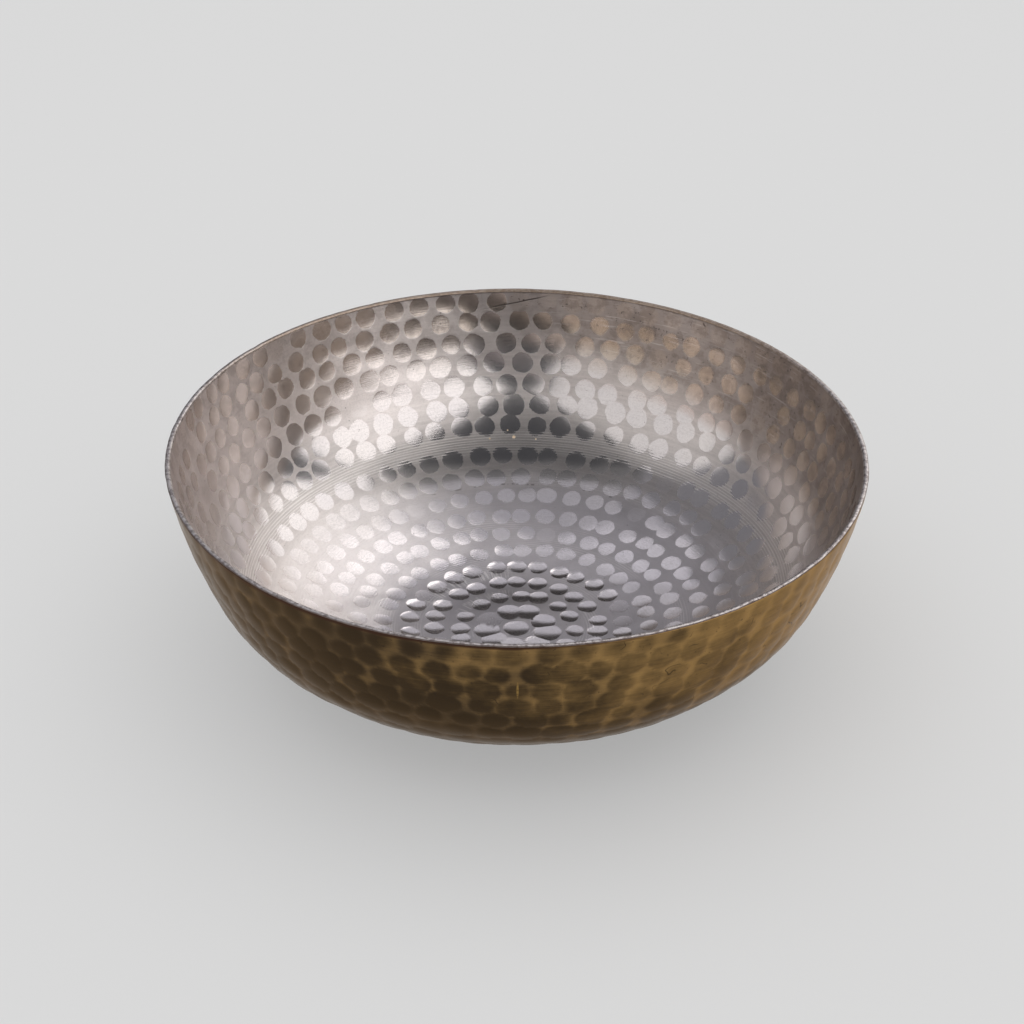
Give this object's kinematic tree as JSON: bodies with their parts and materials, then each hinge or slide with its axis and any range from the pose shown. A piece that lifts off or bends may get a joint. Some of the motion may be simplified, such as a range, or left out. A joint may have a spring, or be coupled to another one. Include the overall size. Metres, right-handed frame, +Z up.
{
  "type": "hammered bowl",
  "caption": "Round raised bowl of hammered sheet metal, tinned inside and over the rim, with a small flat foot.",
  "frame": {"origin": "middle of the flat foot, on the surface that the bowl stands on", "axes": "+Z up along the bowl's axis, out of its mouth; the bowl is round, so +X and +Y are any two level directions"},
  "size_m": [0.28, 0.28, 0.091],
  "materials": {
    "aged_brass": "hammered sheet, aged to a satin brown gold, brushed round the bowl",
    "tin": "hot-wiped tin, warm grey, satin between the hammer marks and bright inside them"
  },
  "bodies": {
    "root": {"bowl_shell": "aged_brass", "tin_lining": "tin"}
  },
  "joints": []
}
